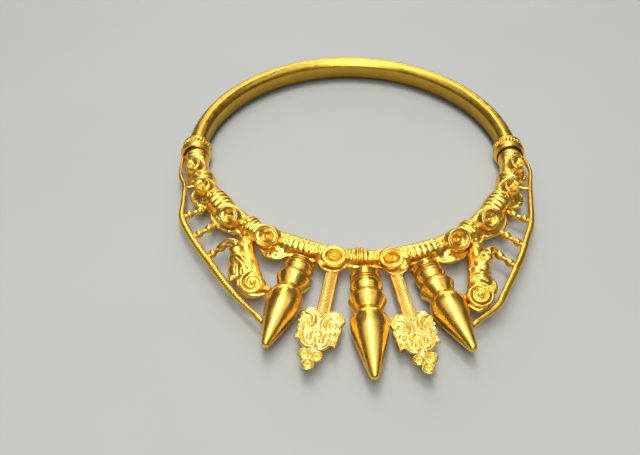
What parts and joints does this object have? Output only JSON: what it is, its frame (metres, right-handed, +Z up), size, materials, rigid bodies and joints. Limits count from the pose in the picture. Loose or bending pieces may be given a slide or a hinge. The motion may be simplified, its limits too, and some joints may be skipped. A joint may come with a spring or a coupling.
{
  "type": "celtic gold torc",
  "caption": "Gold neck ring: plain rear hoop, worked front arc with spiral bosses, turned bud drops, palmette pendants, small figures and side rails.",
  "frame": {"origin": "middle of the outline, on the ground that the ring lies on", "axes": "+Z up out of the plane of the ring; -Y towards the drops at the front, +Y towards the plain rear hoop; +X to the right as seen from the drops"},
  "size_m": [0.1676, 0.2202, 0.0148],
  "materials": {
    "hoop_gold": "smooth hammered gold with a soft burnish and fine scratches",
    "worked_gold": "bright chased gold, darker in its recesses",
    "drop_gold": "satin gold with a fine sparkle",
    "palmette_gold": "pale soft gold, lightly matt",
    "rail_gold": "bright drawn gold wire"
  },
  "bodies": {
    "root": {"rear_hoop": "hoop_gold", "left_collar": "worked_gold", "right_collar": "worked_gold", "front_arc": "worked_gold", "left_drop": "drop_gold", "centre_drop": "drop_gold", "right_drop": "drop_gold", "left_palmette": "palmette_gold", "right_palmette": "palmette_gold", "left_rail": "rail_gold", "right_rail": "rail_gold", "left_baluster_1": "rail_gold", "left_baluster_2": "rail_gold", "left_baluster_3": "rail_gold", "right_baluster_1": "rail_gold", "right_baluster_2": "rail_gold", "right_baluster_3": "rail_gold", "left_figure": "worked_gold", "right_figure": "worked_gold"}
  },
  "joints": []
}
